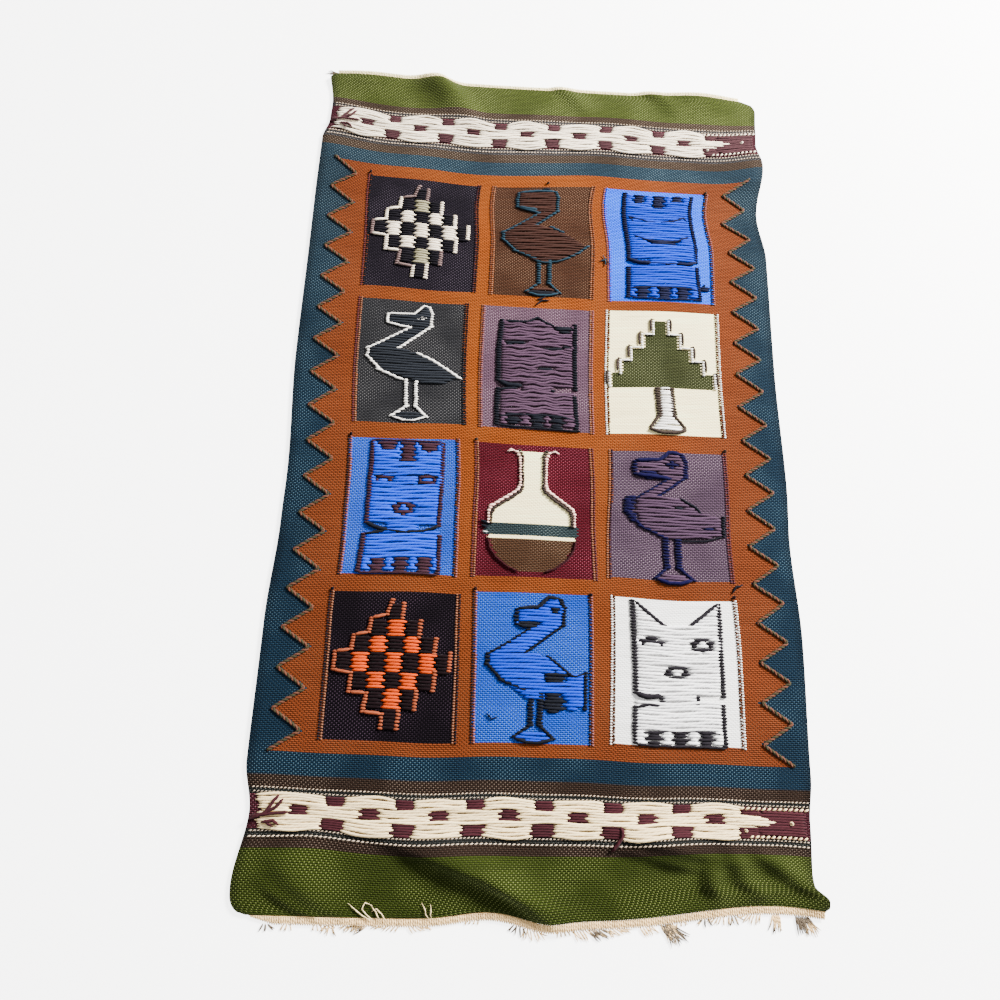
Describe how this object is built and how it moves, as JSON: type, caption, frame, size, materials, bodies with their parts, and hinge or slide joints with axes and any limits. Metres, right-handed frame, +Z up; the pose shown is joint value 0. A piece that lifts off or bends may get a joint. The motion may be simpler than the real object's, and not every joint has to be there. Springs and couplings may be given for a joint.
{
  "type": "woven tapestry",
  "caption": "Rectangular woven wall or floor tapestry lying with low folds, with narrow woven headings and frayed warp ends.",
  "frame": {"origin": "on the resting surface, under the middle of the whole piece", "axes": "+Z up out of the cloth's face, +Y along the cloth to its far end, +X across it"},
  "size_m": [0.627, 1.1091, 0.0178],
  "materials": {
    "woven_wool": "coarse weft-faced weave",
    "cream_cotton": "ribbed cotton",
    "float_yarn": "soft spun yarn"
  },
  "bodies": {
    "root": {"cloth": "woven_wool", "heading_far": "cream_cotton", "heading_near": "cream_cotton"}
  },
  "joints": []
}
